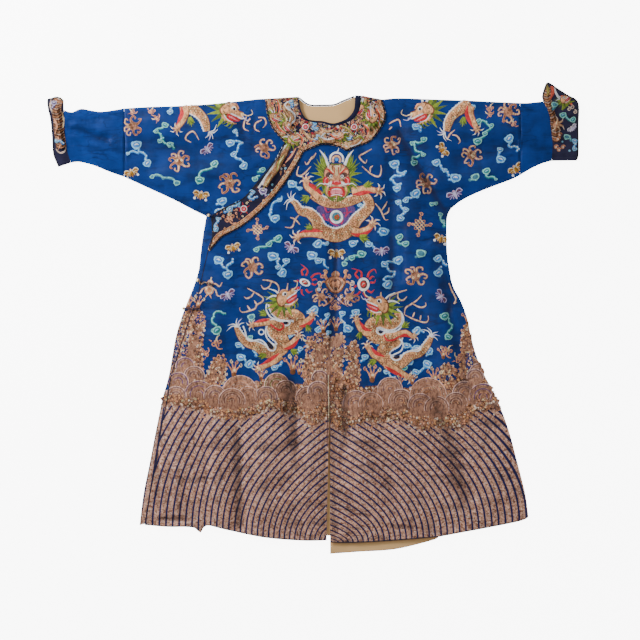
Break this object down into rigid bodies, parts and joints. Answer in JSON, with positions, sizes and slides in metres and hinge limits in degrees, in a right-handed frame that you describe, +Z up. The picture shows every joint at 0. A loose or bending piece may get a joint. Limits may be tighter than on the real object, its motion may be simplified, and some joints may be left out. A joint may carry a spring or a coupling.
{
  "type": "chinese dragon robe",
  "caption": "Long blue silk court robe with a curved side closing, horse-hoof cuffs and figured dragons over wave stripes, laid flat with its front up.",
  "frame": {"origin": "on the flat underside of the back, on the centre back line, about halfway down the robe", "axes": "+X towards the wearer's left sleeve, +Y towards the neck, +Z up through the front"},
  "size_m": [1.6613, 1.473, 0.0173],
  "materials": {
    "blue_silk": "satin",
    "navy_silk": "satin",
    "cream_lining": "matte",
    "dark_binding": "satin",
    "gilt_brass": "polished"
  },
  "bodies": {
    "root": {"body_right": "blue_silk", "body_left": "blue_silk", "front_overlap": "blue_silk", "sleeve_right": "blue_silk", "sleeve_left": "blue_silk", "lining_back": "cream_lining", "slit_facing": "cream_lining", "cuff_right": "navy_silk", "cuff_left": "navy_silk", "collar_right": "navy_silk", "collar_left": "navy_silk", "collar_back": "navy_silk", "overlap_band": "navy_silk", "neck_binding_front": "dark_binding", "neck_binding_back": "dark_binding", "loop_armpit": "dark_binding", "loop_waist": "dark_binding", "loop_hip": "dark_binding", "button_armpit": "gilt_brass", "button_waist": "gilt_brass", "button_hip": "gilt_brass"}
  },
  "joints": []
}
